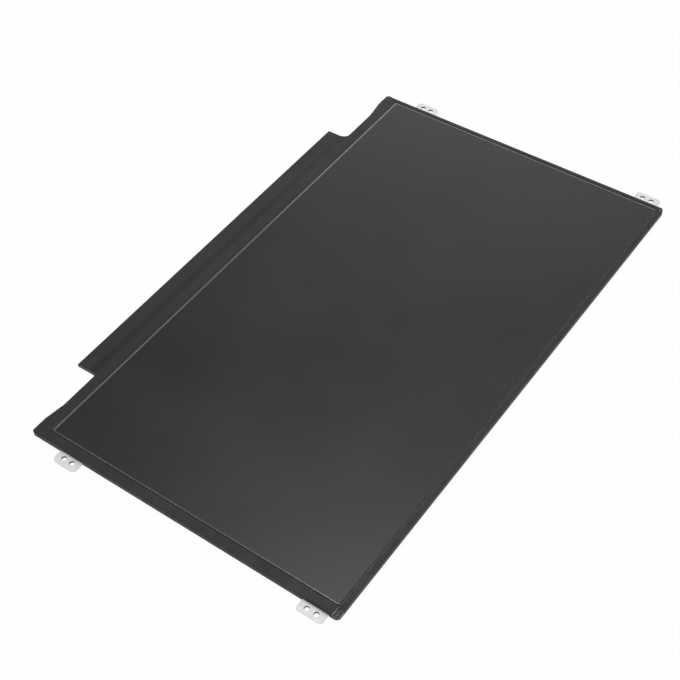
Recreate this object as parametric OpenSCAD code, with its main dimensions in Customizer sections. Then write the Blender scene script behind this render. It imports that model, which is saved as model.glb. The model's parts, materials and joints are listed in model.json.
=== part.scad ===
// Slim 11.6 inch class laptop display module with a touch cell, lying on its back.
// X runs along the long side, -Y is the control-board side and +Z comes out of the screen.
// The origin is on the back plane, at the middle of the body without its flange.

/* [Screen] */
// Width of the front polarizer
polarizer_w = 259.3; // [240:0.1:290]
// Height of the front polarizer
polarizer_h = 147.75; // [130:0.05:170]
// Bare glass beside the polarizer at the two short sides
glass_border_side = 0.6; // [0.3:0.05:1.5]
// Bare glass above the polarizer
glass_border_top = 0.1; // [0.05:0.05:1]
// Bare glass below the polarizer, on the board side
glass_border_board = 0.75; // [0.6:0.05:1.5]
// Ledge of the array glass that carries the driver chips
chip_ledge = 3.9; // [3.5:0.1:6]
// Gap between the cell and the frame at the short sides and the top
cell_gap = 0.45; // [0.2:0.05:0.8]
// Gap between the array glass and the frame on the board side
ledge_gap = 0.3; // [0.15:0.05:0.6]

/* [Body] */
// Frame wall outside the cell at the left
wall_left = 2; // [1.6:0.1:5]
// Frame wall outside the cell at the right
wall_right = 4.44; // [1.6:0.02:6]
// Frame wall outside the cell at the top
wall_top = 2.52; // [1.6:0.02:5]
// Frame wall outside the cell beside the flange
wall_board = 0.82; // [0.6:0.02:2]
// How far the two corner blocks stand out past that wall
block_depth = 1.5; // [0.5:0.1:3]
// Width of each corner block
block_w = 8; // [5:0.5:12]
// Length of the slant between a block and the recess
slant_w = 10; // [6:0.5:14]
// Corner radius at the top
corner_r_top = 2; // [0.8:0.1:3]
// Corner radius on the board side
corner_r_board = 1; // [0.5:0.1:1.5]

/* [Flange] */
// Width of the flange over the control board
flange_w = 190; // [150:1:200]
// How far the flange stands out past the corner blocks
flange_depth = 10; // [9:0.25:14]
// Fillet between the flange and the body
root_fillet = 2.25; // [1.5:0.25:4]
// Length of the film's slope down to the flange
film_slope = 5; // [4:0.25:5.5]

/* [Layers from the back] */
// Metal of the rear cover
cover_t = 0.25; // [0.2:0.05:0.5]
// Step from the cover's outer rim up to its pan
pan_step = 0.25; // [0.15:0.05:0.4]
// Reflector sheet
reflector_t = 0.15; // [0.1:0.01:0.25]
// Light guide plate
guide_t = 0.5; // [0.4:0.05:0.8]
// Diffuser sheet
diffuser_t = 0.1; // [0.05:0.01:0.2]
// Each of the two prism sheets
prism_t = 0.13; // [0.08:0.01:0.2]
// Diffuser on top of the prism sheets
top_diffuser_t = 0.09; // [0.05:0.01:0.2]
// Double-sided rim tape under the cell
rim_tape_t = 0.08; // [0.05:0.01:0.15]
// Rear polarizer
rear_polarizer_t = 0.12; // [0.1:0.01:0.2]
// Array glass
array_glass_t = 0.42; // [0.3:0.01:0.6]
// Cell seal between the two glasses
seal_t = 0.03; // [0.02:0.01:0.06]
// Colour filter glass
filter_glass_t = 0.42; // [0.3:0.01:0.6]
// Front polarizer
front_polarizer_t = 0.23; // [0.12:0.01:0.3]

/* [Tapes and film] */
// Thickness of the bezel tapes and the board film
tape_t = 0.08; // [0.05:0.01:0.12]
// Rounding where a bezel tape turns over the edge
tape_edge_r = 0.18; // [0.13:0.01:0.2]
// Gap between two neighbouring bezel tapes
tape_joint = 0.1; // [0.05:0.05:0.3]
// How far tape and film lap onto the glass on the board side
tape_lap = 0.3; // [0.15:0.05:0.5]
// Clearance between the tape skirts and the back plane
skirt_lift = 0.05; // [0.03:0.01:0.15]

/* [Rear cover] */
// Height of the cover's folded top wall
cover_wall_h = 2.2; // [1.8:0.05:2.3]
// Distance from the body's corner to the end of the folded wall
cover_wall_inset = 8; // [5:0.5:20]
// Width of each snap window in the folded wall
snap_w = 10; // [6:0.5:16]
// Height of each snap window
snap_h = 0.8; // [0.5:0.05:1]
// Clearance round a snap nub in its window
snap_gap = 0.05; // [0.03:0.01:0.1]
// Flat width of a stiffening bead
bead_w = 5; // [3:0.5:10]
// Distance from the pan's short side to the end of a long bead
bead_inset = 16; // [10:1:40]
// Distance between the long beads
bead_pitch = 38; // [20:1:45]
// Length of the short cross beads
cross_bead_l = 20; // [10:1:24]
// Clearance round the pan inside the frame
pan_gap = 0.1; // [0.05:0.05:0.2]
// Corner radius of the pan
pan_corner_r = 3; // [1:0.5:5]

/* [Backlight] */
// How far the sheets lie inside the edge of the glass
sheet_inset = 1.3; // [1:0.05:2]
// Gap round the sheets inside the frame
sheet_gap = 0.2; // [0.1:0.05:0.4]
// Width of a sheet's locating tab
tab_w = 8; // [4:0.5:15]
// Length of a sheet's locating tab
tab_l = 0.9; // [0.5:0.05:0.95]
// Distance between the two locating tabs
tab_pitch = 160; // [80:1:200]
// Length of one light package
led_w = 3; // [2:0.1:4]
// Depth of one light package
led_d = 1; // [0.6:0.05:1.1]
// Height of one light package
led_h = 0.52; // [0.4:0.01:0.55]
// Distance from the end of the sheets to the middle of the last light package
led_end = 7.05; // [2:0.05:12]
// Number of light packages
led_count = 24; // [8:1:24]
// Middle of the light bar's tail, in hundredths of the flange's half width from its middle
tail_share = -74; // [-76:1:-72]
// Gap between the packages and the light guide
led_gap = 0.15; // [0.05:0.05:0.3]
// How far the rim tape laps onto the sheets
rim_lap = 0.8; // [0.5:0.05:1.2]

/* [Brackets] */
// Sheet metal of the brackets
bracket_t = 0.4; // [0.3:0.05:0.5]
// Height of the underside of the ears
ear_z = 0.45; // [0.35:0.05:0.6]
// Top of the upright leg
bracket_top_z = 2.3; // [2:0.05:2.4]
// Inner bend radius
bend_r = 0.25; // [0.15:0.05:0.4]
// Width of an ear
ear_w = 12.4; // [10:0.1:16]
// Upper ears: distance of their middle below the top edge
ear_from_top = 10.6; // [10:0.1:20]
// Lower ears: distance of their middle above the corner blocks' edge
ear_from_board = 22.35; // [14:0.05:40]
// Reach of the right upper ear past the body
reach_right_top = 4.95; // [4.5:0.05:8]
// Reach of the right lower ear past the body
reach_right_board = 5.65; // [4.5:0.05:8]
// Reach of both left ears past the body
reach_left = 6.45; // [5.5:0.05:9]
// Corner radius of the upper ears
ear_corner_top = 1.3; // [0.5:0.1:2]
// Corner radius of the lower ears
ear_corner_board = 2.2; // [0.5:0.1:2.4]
// Screw hole in an ear
hole_d = 2.4; // [1.8:0.1:2.8]
// Distance between the two holes of an ear
hole_pitch = 4.5; // [4:0.1:6]
// Distance of the right holes from the body's side
hole_out_right = 2.35; // [2:0.05:2.7]
// Distance of the left holes from the body's side
hole_out_left = 3.55; // [2.5:0.05:3.8]
// Width of the strip that joins the two ears
strip_h = 1.2; // [0.8:0.05:1.4]
// How far a leg runs past its ear
leg_over = 1.5; // [0.5:0.1:2]
// Clearance at the ends of a leg and above it
leg_gap = 0.1; // [0.05:0.05:0.3]

/* [Control board] */
// Thickness of the control board
board_t = 0.6; // [0.4:0.05:0.8]
// Height of the board's underside, where its parts are soldered
board_z = 0.9; // [0.85:0.05:1]
// How far the board's short ends lie inside the flange's ends
board_end_inset = 0.1; // [0.05:0.05:0.5]
// Clearance between the board and the frame
board_gap = 0.38; // [0.2:0.02:0.8]
// Clearance between the board and the folded film
fold_gap = 0.17; // [0.05:0.01:0.4]
// Height of the film's back leaf above the back plane
film_lift = 0.03; // [0.02:0.01:0.05]
// Radius of the film's two folds
film_fold_r = 0.3; // [0.15:0.05:0.35]
// Thickness of the flexes
flex_t = 0.07; // [0.05:0.01:0.1]
// Width of a source flex
source_flex_w = 34; // [20:1:40]
// Distance between the source flexes
source_pitch = 56; // [45:1:58]
// Width of the touch flex
touch_flex_w = 12; // [8:0.5:13]
// Length of a driver chip
driver_l = 20; // [14:0.5:26]
// Width of a driver chip
driver_w = 1.4; // [0.8:0.1:1.6]
// Thickness of a driver chip
driver_t = 0.3; // [0.2:0.05:0.35]

/* [Connector] */
// Middle of the cable connector, in hundredths of the flange's half width from its middle
connector_share = 61; // [60:1:63]
// Width of the connector's housing
connector_w = 21; // [18:0.5:24]
// Depth of the connector's housing
connector_d = 3.8; // [3.5:0.1:4.5]
// Sheet of the connector's metal cover
connector_cover_t = 0.1; // [0.08:0.01:0.15]
// Number of contacts
contact_count = 30; // [20:1:36]
// Distance between contacts
contact_pitch = 0.5; // [0.4:0.05:0.5]
// Width of a contact
contact_w = 0.2; // [0.12:0.01:0.25]

/* [Hidden] */
$fn = 48;
eps = 1;

// Heights of the layers, from the back plane up
pan_z = pan_step + cover_t;
guide_z = pan_z + reflector_t;
diffuser_z = guide_z + guide_t;
lower_prism_z = diffuser_z + diffuser_t;
upper_prism_z = lower_prism_z + prism_t;
top_diffuser_z = upper_prism_z + prism_t;
ledge_z = top_diffuser_z + top_diffuser_t;
rear_polarizer_z = ledge_z + rim_tape_t;
array_z = rear_polarizer_z + rear_polarizer_t;
chip_z = array_z + array_glass_t;
filter_z = chip_z + seal_t;
frame_top = filter_z + filter_glass_t;
tape_top = frame_top + tape_t;

// Plan of the body and of the cell pocket
pocket_w = polarizer_w + 2 * glass_border_side + 2 * cell_gap;
pocket_h = polarizer_h + glass_border_top + glass_border_board + chip_ledge + cell_gap + ledge_gap;
body_w = pocket_w + wall_left + wall_right + 2 * tape_t;
body_h = pocket_h + wall_top + wall_board + block_depth + 2 * tape_t;
half_w = body_w / 2;
half_h = body_h / 2;
pocket_x0 = -half_w + tape_t + wall_left;
pocket_x1 = half_w - tape_t - wall_right;
pocket_y1 = half_h - tape_t - wall_top;
pocket_y0 = pocket_y1 - pocket_h;
glass_x0 = pocket_x0 + cell_gap;
glass_x1 = pocket_x1 - cell_gap;
glass_y1 = pocket_y1 - cell_gap;
array_y0 = pocket_y0 + ledge_gap;
filter_y0 = array_y0 + chip_ledge;
recess_y = -half_h + block_depth;
block_x = half_w - block_w;
recess_x = block_x - slant_w;
slant_angle = atan(block_depth / slant_w);
flange_y = -half_h - flange_depth;
film_half_w = flange_w / 2 + root_fillet;
film_y1 = filter_y0 + tape_lap;

// Sheets, light guide and their pocket
sheet_x0 = glass_x0 + sheet_inset;
sheet_x1 = glass_x1 - sheet_inset;
sheet_y1 = glass_y1 - sheet_inset;
sheet_y0 = filter_y0 - 1;
light_y0 = array_y0 + 0.3;
guide_edge_bump = 0.2;

// Light bar
led_y1 = sheet_y0 - led_gap;
led_y0 = led_y1 - led_d;
led_z = pan_z + flex_t;
led_pitch = (sheet_x1 - sheet_x0 - 2 * led_end) / (led_count - 1);
tail_x = along_board(tail_share);
tail_w = 8;

// Brackets
leg_x = half_w - tape_t;
ear_top_y = half_h - ear_from_top;
ear_board_y = -half_h + ear_from_board;
ear_top_z = ear_z + bracket_t;
notch_z = ear_top_z + bend_r + skirt_lift;

// Control board
board_top = board_z + board_t;
board_y1 = recess_y + tape_t - board_gap;
board_y0 = flange_y + tape_t + fold_gap;
board_half_w = flange_w / 2 - board_end_inset;
film_z = board_top + flex_t;
bond_y0 = recess_y - film_slope + 1;
socket_inset = 4;
adhesive_y1 = recess_y - film_slope - 0.3;
part_clear = 0.1;
low_wall_z = ledge_z + 0.2;

connector_x = along_board(connector_share);

// Parts under the board: [share of the flange's half width, y from the outer edge, width, depth, height]
timing_chip = [15, 5.6, 7, 7, 0.75];
touch_chip = [-38, 5.2, 5, 5, 0.6];
power_parts = [[36, 5.6, 4, 4, 0.75], [-55, 5.2, 3, 3, 0.7]];
coil_parts = [[27, 6.2, 3, 3, 0.75], [-61, 6.2, 2.5, 2.5, 0.7]];
capacitor_shares = [-93, -90, -87, -51, -48, -45, -32, -29, -26, -7, -4, 5, 8, 21, 40, 43, 46, 76, 79,
    82, 87, 90];
resistor_shares = [-96, -84, -43, -23, -20, -17, -14, -11, -1, 2, 31, 85, 93, 95];
capacitor_size = [0.8, 1.6, 0.7];
resistor_size = [0.5, 1, 0.35];
capacitor_rows = [2.2, 7.6];
resistor_rows = [3, 7];

function mirrored(points) = [for (i = [len(points) - 1 : -1 : 0]) [-points[i][0], points[i][1]]];
// Place along the board from its share of the flange's half width
function along_board(share) = share / 100 * flange_w / 2;
function reversed(points) = [for (i = [len(points) - 1 : -1 : 0]) points[i]];
function unit(v) = v / norm(v);
function normal(p, q) = let (d = unit(q - p)) [-d[1], d[0]];
function joint(p, q, r) = let (a = normal(p, q), b = normal(q, r)) (a + b) / (1 + a * b);
function last(points) = len(points) - 1;
function arc(centre, r, from, to, steps = 6) =
    [for (i = [0 : steps]) let (a = from + (to - from) * i / steps) centre + r * [cos(a), sin(a)]];
// Smooth drop from p to q, level at both ends
function s_curve(p, q, steps = 10) =
    [for (i = [0 : steps]) [p[0] + (q[0] - p[0]) * i / steps,
        p[1] + (q[1] - p[1]) * (1 - cos(180 * i / steps)) / 2]];

// Strip of even thickness t on the left of an open path
module ribbon(path, t) {
    side = [for (i = [0 : last(path)]) path[i] + t * (
        i == 0 ? normal(path[0], path[1]) :
        i == last(path) ? normal(path[i - 1], path[i]) :
        joint(path[i - 1], path[i], path[i + 1]))];
    polygon(concat(path, reversed(side)));
}

// Profile drawn in Y and Z, carried along X from x0 to x1
module along_x(x0, x1) {
    translate([x0, 0, 0]) rotate([90, 0, 90]) linear_extrude(x1 - x0) children();
}

module block(x0, x1, y0, y1, z0, z1) {
    translate([x0, y0, z0]) cube([x1 - x0, y1 - y0, z1 - z0]);
}

module slab(z0, z1) {
    translate([0, 0, z0]) linear_extrude(z1 - z0) children();
}

// Outline of the body, moved inwards by d
module body_plan(d = 0) {
    rt = corner_r_top - d;
    rb = corner_r_board - d;
    x = half_w - d;
    shift = d * tan(slant_angle / 2);
    right = [[x - rt, half_h - d], [x, half_h - d - rt], [x, -half_h + d + rb],
        [x - rb, -half_h + d], [block_x + shift, -half_h + d], [recess_x + shift, recess_y + d]];
    polygon(concat(right, mirrored(right)));
    for (s = [-1, 1]) {
        translate([s * (x - rt), half_h - d - rt]) circle(rt);
        translate([s * (x - rb), -half_h + d + rb]) circle(rb);
    }
}

module rounded_rect(x0, x1, y0, y1, r) {
    translate([x0 + r, y0]) square([x1 - x0 - 2 * r, y1 - y0]);
    translate([x0, y0 + r]) square([x1 - x0, y1 - y0 - 2 * r]);
    for (x = [x0 + r, x1 - r], y = [y0 + r, y1 - r]) translate([x, y]) circle(r);
}

// Rear cover: a stamped pan. Its rim and its beads lie on the back plane.

module bead_section() {
    run = pan_step;
    back = cover_t * tan(22.5);
    w = bead_w / 2;
    polygon([[0, 0], [w, 0], [w + run, pan_step], [w + run + run, pan_step],
        [w + run + run, pan_z], [w + run - back, pan_z], [w - back, cover_t], [0, cover_t]]);
}

module bead(length) {
    for (s = [-1, 1]) {
        mirror([0, s < 0 ? 1 : 0, 0]) along_x(-length / 2, length / 2) bead_section();
        rotate([0, 0, s > 0 ? -90 : 90]) translate([0, length / 2, 0])
            rotate_extrude(angle = 180) bead_section();
    }
}

module bead_cut(length) {
    r = bead_w / 2 + 2 * pan_step;
    slab(-eps, pan_z + eps) {
        square([length, 2 * r], center = true);
        for (s = [-1, 1]) translate([s * length / 2, 0]) circle(r);
    }
}

pan_x0 = sheet_x0 - sheet_gap + pan_gap;
pan_x1 = sheet_x1 + sheet_gap - pan_gap;
pan_y0 = light_y0 + pan_gap;
pan_y1 = sheet_y1 + sheet_gap - pan_gap;
pan_mid_x = (pan_x0 + pan_x1) / 2;
bead_l = pan_x1 - pan_x0 - 2 * bead_inset;
cross_bead_xs = [for (i = [-2 : 2]) pan_mid_x + i * bead_l / 4];

module at_long_beads() {
    for (i = [-1 : 1]) translate([pan_mid_x, i * bead_pitch, 0]) children();
}

module at_cross_beads() {
    for (x = cross_bead_xs, s = [-1, 1])
        translate([x, s * bead_pitch / 2, 0]) rotate([0, 0, 90]) children();
}

snap_xs = [for (i = [-1.5 : 1]) i * (body_w - 2 * cover_wall_inset) / 4];
snap_z = 1.3;

module cover_wall() {
    x = half_w - cover_wall_inset;
    y = half_h - tape_t - cover_t;
    difference() {
        union() {
            block(-x, x, y, y + cover_t, cover_t, cover_wall_h);
            along_x(-x, x) intersection() {
                translate([y, cover_t]) circle(cover_t);
                translate([y, 0]) square(cover_t);
            }
        }
        for (sx = snap_xs)
            block(sx - snap_w / 2, sx + snap_w / 2, y - eps, y + cover_t + eps,
                snap_z - snap_h / 2, snap_z + snap_h / 2);
    }
}

module rear_cover() {
    color("silver") {
        difference() {
            union() {
                slab(0, cover_t) difference() {
                    body_plan(tape_t);
                    translate([-half_w + cover_wall_inset, half_h - tape_t - cover_t])
                        square([body_w - 2 * cover_wall_inset, eps]);
                }
                slab(0, pan_z) rounded_rect(pan_x0, pan_x1, pan_y0, pan_y1, pan_corner_r);
            }
            slab(-eps, pan_step) rounded_rect(pan_x0 + cover_t, pan_x1 - cover_t,
                pan_y0 + cover_t, pan_y1 - cover_t, pan_corner_r - cover_t);
            at_long_beads() bead_cut(bead_l);
            at_cross_beads() bead_cut(cross_bead_l - bead_w);
        }
        at_long_beads() bead(bead_l);
        at_cross_beads() bead(cross_bead_l - bead_w);
        cover_wall();
    }
}

// Mould frame: carries the sheets below its ledge and the cell above it.

module tab_plan(grow = 0) {
    for (s = [-1, 1])
        translate([s * tab_pitch / 2 - tab_w / 2 - grow, sheet_y1 - eps])
            square([tab_w + 2 * grow, tab_l + eps + grow]);
}

module sheet_plan(y0) {
    translate([sheet_x0, y0]) square([sheet_x1 - sheet_x0, sheet_y1 - y0]);
    tab_plan();
}

module bracket_pocket(side) {
    x = leg_x - bracket_t;
    mirror([side < 0 ? 1 : 0, 0, 0]) {
        block(x, half_w + eps, ear_board_y - ear_w / 2 - leg_over - leg_gap,
            ear_top_y + ear_w / 2 + leg_over + leg_gap,
            bracket_top_z - strip_h - leg_gap, bracket_top_z + leg_gap);
        for (y = [ear_board_y, ear_top_y])
            block(x, half_w + eps, y - ear_w / 2 - leg_over - leg_gap,
                y + ear_w / 2 + leg_over + leg_gap, ear_z, bracket_top_z);
    }
}

module mould_frame() {
    wall_y = half_h - tape_t - cover_t;
    color("#202124") {
        difference() {
            slab(cover_t, frame_top) body_plan(tape_t);
            // Pocket for the sheets and the light bar
            block(sheet_x0 - sheet_gap, sheet_x1 + sheet_gap, light_y0, sheet_y1 + sheet_gap,
                0, frame_top + eps);
            slab(0, ledge_z) tab_plan(sheet_gap);
            // Pocket for the cell
            block(pocket_x0, pocket_x1, pocket_y0, pocket_y1, ledge_z, frame_top + eps);
            // Seat of the cover's folded wall
            block(-half_w + cover_wall_inset, half_w - cover_wall_inset, wall_y, half_h + eps,
                0, cover_wall_h + leg_gap);
            // Low wall where the flexes leave
            block(-flange_w / 2, flange_w / 2, recess_y - eps, pocket_y0 + eps,
                low_wall_z, frame_top + eps);
            // Slot for the light bar's tail
            block(tail_x - tail_w / 2 - sheet_gap, tail_x + tail_w / 2 + sheet_gap,
                recess_y - eps, light_y0 + eps, pan_z - leg_gap, led_z + leg_gap);
            for (side = [-1, 1]) bracket_pocket(side);
        }
        // Snap nubs in the cover's windows
        for (x = snap_xs)
            along_x(x - snap_w / 2 + snap_gap, x + snap_w / 2 - snap_gap)
                polygon([[wall_y - 0.5, snap_z - snap_h / 2 + snap_gap],
                    [wall_y + cover_t - snap_gap, snap_z],
                    [wall_y + cover_t - snap_gap, snap_z + snap_h / 2 - snap_gap],
                    [wall_y - 0.5, snap_z + snap_h / 2 - snap_gap]]);
    }
}

// Backlight

module reflector_sheet() {
    color("white") slab(pan_z, guide_z) sheet_plan(sheet_y0 + guide_edge_bump);
}

module light_guide() {
    color("#dfe8ea") slab(guide_z, diffuser_z) sheet_plan(sheet_y0);
}

module diffuser_sheet() {
    color("#f2f2ef") slab(diffuser_z, lower_prism_z) sheet_plan(sheet_y0 + guide_edge_bump);
}

module lower_prism_sheet() {
    color("#e4e9ec") slab(lower_prism_z, upper_prism_z) sheet_plan(sheet_y0 + guide_edge_bump);
}

module upper_prism_sheet() {
    color("#dde3e8") slab(upper_prism_z, top_diffuser_z) sheet_plan(sheet_y0 + guide_edge_bump);
}

module top_diffuser_sheet() {
    color("#efefec") slab(top_diffuser_z, ledge_z) sheet_plan(sheet_y0 + guide_edge_bump);
}

module light_bar_flex() {
    color("#c8791f") {
        block(sheet_x0, sheet_x1, light_y0 + pan_gap, led_y1, pan_z, led_z);
        // Tail: out through the frame, then up to the underside of the board
        along_x(tail_x - tail_w / 2, tail_x + tail_w / 2)
            ribbon([[light_y0 + pan_gap + 0.2, led_z], [recess_y, led_z],
                [board_y1 - 0.6, board_z], [board_y1 - socket_inset, board_z]], flex_t);
    }
}

module light_packages() {
    window = 0.1;
    color("#f4f1e2") for (i = [0 : led_count - 1]) {
        x = sheet_x0 + led_end + i * led_pitch;
        difference() {
            block(x - led_w / 2, x + led_w / 2, led_y0, led_y1, led_z, led_z + led_h);
            block(x - led_w / 2 + 2 * window, x + led_w / 2 - 2 * window, led_y1 - window,
                led_y1 + eps, led_z + window, led_z + led_h - window);
        }
    }
}

// Cell

module rim_tape() {
    gap = sheet_gap / 2;
    color("#1b1b1d") slab(ledge_z, rear_polarizer_z) difference() {
        translate([pocket_x0 + gap, pocket_y0 + gap])
            square([pocket_w - 2 * gap, pocket_h - 2 * gap]);
        translate([sheet_x0 + rim_lap, sheet_y0 + guide_edge_bump + rim_lap])
            square([sheet_x1 - sheet_x0 - 2 * rim_lap,
                sheet_y1 - sheet_y0 - guide_edge_bump - 2 * rim_lap]);
    }
}

module polarizer_plan() {
    translate([glass_x0 + glass_border_side, filter_y0 + glass_border_board])
        square([polarizer_w, polarizer_h]);
}

module rear_polarizer() {
    color("#3b3d40") slab(rear_polarizer_z, array_z) polarizer_plan();
}

module array_glass() {
    color("#8fa39a") block(glass_x0, glass_x1, array_y0, glass_y1, array_z, chip_z);
}

module cell_seal() {
    color("#b8b39a") slab(chip_z, filter_z) difference() {
        translate([glass_x0 + tape_lap, filter_y0 + tape_lap])
            square([glass_x1 - glass_x0 - 2 * tape_lap, glass_y1 - filter_y0 - 2 * tape_lap]);
        translate([glass_x0 + 2 * tape_lap + glass_border_side,
            filter_y0 + 2 * tape_lap + glass_border_board])
            square([polarizer_w - 2 * 2 * tape_lap, polarizer_h - 2 * 2 * tape_lap]);
    }
}

module colour_filter_glass() {
    color("#7d8a86") block(glass_x0, glass_x1, filter_y0, glass_y1, filter_z, frame_top);
}

module front_polarizer() {
    color("#3a3a3d") slab(frame_top, frame_top + front_polarizer_t) polarizer_plan();
}

source_xs = [for (i = [-1 : 1]) 12 + i * source_pitch];
touch_x = -flange_w / 2 + 1.5 + touch_flex_w / 2;

module driver_chips() {
    y1 = filter_y0 - 0.3;
    color("#2c3238") for (x = source_xs)
        block(x - driver_l / 2, x + driver_l / 2, y1 - driver_w, y1, chip_z, chip_z + driver_t);
}

// Flex from the array glass's ledge over the low wall to the front of the board
module ledge_flex(x, w) {
    along_x(x - w / 2, x + w / 2)
        ribbon([[bond_y0, board_top], [board_y1 - 1, board_top], [array_y0, chip_z],
            [array_y0 + 1.1, chip_z]], flex_t);
}

module source_flexes() {
    color("#a5661d") for (x = source_xs) ledge_flex(x, source_flex_w);
}

module touch_flex() {
    color("#b06d20") ledge_flex(touch_x, touch_flex_w);
}

// Control board and what is soldered under it

module control_board() {
    color("#2f5b3c") block(-board_half_w, board_half_w, board_y0, board_y1, board_z, board_top);
}

module board_adhesive() {
    edge = 0.4;
    color("#262626") block(-board_half_w + edge, board_half_w - edge, board_y0 + edge,
        adhesive_y1, board_top, film_z);
}

// One part under the board, given as in the lists above
module under_board(p) {
    translate([along_board(p[0]), board_y0 + p[1], board_z - p[4] / 2])
        cube([p[2], p[3], p[4]], center = true);
}

module timing_controller() {
    color("#232528") under_board(timing_chip);
}

module touch_controller() {
    color("#26282b") under_board(touch_chip);
}

module power_chips() {
    color("#242628") for (p = power_parts) under_board(p);
}

module inductors() {
    color("#4b4b4d") for (p = coil_parts) under_board(p);
}

module capacitors() {
    color("#b59a73") for (share = capacitor_shares, y = capacitor_rows)
        under_board([share, y, capacitor_size[0], capacitor_size[1], capacitor_size[2]]);
}

module resistors() {
    color("#1d1d1f") for (share = resistor_shares, y = resistor_rows)
        under_board([share, y, resistor_size[0], resistor_size[1], resistor_size[2]]);
}

connector_y0 = board_y0 + 0.3;
connector_y1 = connector_y0 + connector_d;
connector_z = film_lift + 0.02;
housing_z = connector_z + connector_cover_t;
mouth_w = connector_w - 2;
mouth_d = 2.6;
mouth_z0 = housing_z + 0.12;
mouth_z1 = board_z - 0.2;

module connector_housing() {
    color("#e9e3d3") difference() {
        block(connector_x - connector_w / 2, connector_x + connector_w / 2,
            connector_y0, connector_y1, housing_z, board_z);
        block(connector_x - mouth_w / 2, connector_x + mouth_w / 2,
            connector_y0 - eps, connector_y0 + mouth_d, mouth_z0, mouth_z1);
    }
}

module connector_contacts() {
    t = 0.08;
    foot = 0.8;
    color("#d8b45a") for (i = [0 : contact_count - 1]) {
        x = connector_x + (i - (contact_count - 1) / 2) * contact_pitch;
        block(x - contact_w / 2, x + contact_w / 2, connector_y0 + 0.5, connector_y0 + mouth_d,
            mouth_z1 - t, mouth_z1);
        block(x - contact_w / 2, x + contact_w / 2, connector_y1, connector_y1 + foot,
            board_z - t, board_z);
    }
}

module connector_cover() {
    x = connector_w / 2;
    t = connector_cover_t;
    color("#c9ccd0") translate([connector_x, 0, 0]) {
        block(-x - t, x + t, connector_y0, connector_y1, connector_z, housing_z);
        for (s = [-1, 1]) mirror([s < 0 ? 1 : 0, 0, 0])
            block(x, x + t, connector_y0, connector_y1, connector_z, board_z);
    }
}

module light_bar_socket() {
    y1 = board_y1 - socket_inset;
    color("#e6dfcf") block(tail_x - tail_w / 2 - 0.6, tail_x + tail_w / 2 + 0.6,
        y1 - 2.6, y1, board_z - 0.7, board_z);
}

// Board film: one sheet from the glass's edge down to the flange, round its edge and back

module film_plan() {
    difference() {
        translate([-film_half_w, recess_y - root_fillet])
            square([2 * film_half_w, film_y1 - recess_y + root_fillet]);
        for (s = [-1, 1]) translate([s * film_half_w, recess_y - root_fillet]) circle(root_fillet);
    }
    translate([-flange_w / 2, flange_y - eps])
        square([flange_w, recess_y - root_fillet - flange_y + eps + 0.01]);
}

module board_film() {
    r = film_fold_r;
    front = film_z + tape_t;
    path = concat(
        [[film_y1, tape_top]],
        s_curve([recess_y, tape_top], [recess_y - film_slope, front]),
        arc([flange_y + r, front - r], r, 90, 180),
        arc([flange_y + r, film_lift + r], r, 180, 270),
        [[recess_y + tape_t - board_gap, film_lift]]);
    color("#1a1a1c") difference() {
        intersection() {
            along_x(-film_half_w, film_half_w) ribbon(path, tape_t);
            slab(-eps, tape_top + eps) film_plan();
        }
        // Window for the cable connector, open at the folded edge
        block(connector_x - connector_w / 2 - 0.7, connector_x + connector_w / 2 + 0.7,
            flange_y - eps, connector_y1 + 1, -eps, board_z + part_clear);
    }
}

// Bezel tapes: a flat band on the frame with a skirt round the side

// Section of the folded edge; X is the distance inwards from the outline
module lip_section() {
    r = tape_edge_r;
    polygon(concat([[tape_t, skirt_lift], [0, skirt_lift]], arc([r, tape_top - r], r, 180, 90, 4),
        [[2 * r, tape_top], [2 * r, frame_top], [tape_t, frame_top]]));
}

// Folded edge along one straight piece of the outline, from p to q
module lip_run(p, q) {
    d = unit(q - p);
    translate([p[0], p[1], 0]) rotate([0, 0, atan2(d[1], d[0])])
        rotate([90, 0, 90]) linear_extrude(norm(q - p)) lip_section();
}

module lip_corner(x, y, r, from) {
    translate([x, y, 0]) rotate([0, 0, from]) rotate_extrude(angle = 90)
        translate([r, 0]) mirror([1, 0]) lip_section();
}

module tape_body() {
    x_low = half_w - corner_r_board;
    x_top = half_w - corner_r_top;
    y_low = -half_h + corner_r_board;
    y_top = half_h - corner_r_top;
    slab(frame_top, tape_top) body_plan(tape_edge_r);
    lip_run([x_top, half_h], [-x_top, half_h]);
    lip_run([half_w, y_low], [half_w, y_top]);
    lip_run([-half_w, y_top], [-half_w, y_low]);
    lip_corner(x_top, y_top, corner_r_top, 0);
    lip_corner(-x_top, y_top, corner_r_top, 90);
    lip_corner(-x_low, y_low, corner_r_board, 180);
    lip_corner(x_low, y_low, corner_r_board, 270);
}

// Bezel tape inside one area of the plan
module bezel_tape(area) {
    color("#1c1c1e") intersection() {
        tape_body();
        slab(-eps, tape_top + eps) polygon(area);
    }
}

// Seam at the top: from the pocket's corner k, then slanting out through the rounding's middle c
function top_seam(k, c) =
    let (s = [sign(c[0]), sign(c[1])], t = min(abs(c[0] - k[0]), abs(c[1] - k[1])))
    [k, c - t * s, c + 3 * s];
// Seam on the board side: from the pocket's corner k to the rounding's middle c, then straight down
function board_seam(k, c) = [k, c, [c[0], -body_h]];
seam_top_right = top_seam([pocket_x1, pocket_y1], [half_w - corner_r_top, half_h - corner_r_top]);
seam_top_left = top_seam([pocket_x0, pocket_y1], [-half_w + corner_r_top, half_h - corner_r_top]);
seam_low_right = board_seam([pocket_x1, film_y1], [half_w - corner_r_board, -half_h + corner_r_board]);
seam_low_left = board_seam([pocket_x0, film_y1], [-half_w + corner_r_board, -half_h + corner_r_board]);
function shifted(points, by) = [for (p = points) p + by];

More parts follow.
